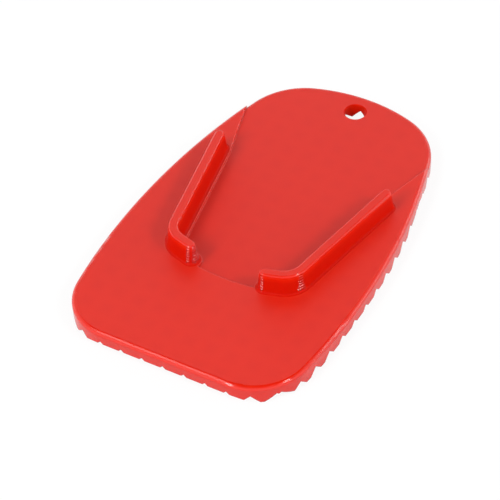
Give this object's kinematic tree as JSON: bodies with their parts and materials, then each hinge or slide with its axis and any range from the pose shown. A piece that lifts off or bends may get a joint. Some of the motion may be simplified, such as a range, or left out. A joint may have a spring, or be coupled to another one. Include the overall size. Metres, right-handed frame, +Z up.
{
  "type": "side stand foot pad",
  "caption": "Flat glossy plastic pad that spreads the load of a motorcycle side stand: shallow recess between hooked rails, cord hole at the narrow end, square cleats underneath.",
  "frame": {"origin": "middle of the bounding box in plan, on the ground plane that the cleats stand on", "axes": "+Z up out of the recess, +Y along the length towards the narrow end with the cord hole, +X to the right seen from the wide end"},
  "size_m": [0.074, 0.115, 0.0116],
  "materials": {
    "pad_plastic": "glossy, slightly translucent red moulded plastic"
  },
  "bodies": {
    "root": {"foot_pad": "pad_plastic"}
  },
  "joints": []
}
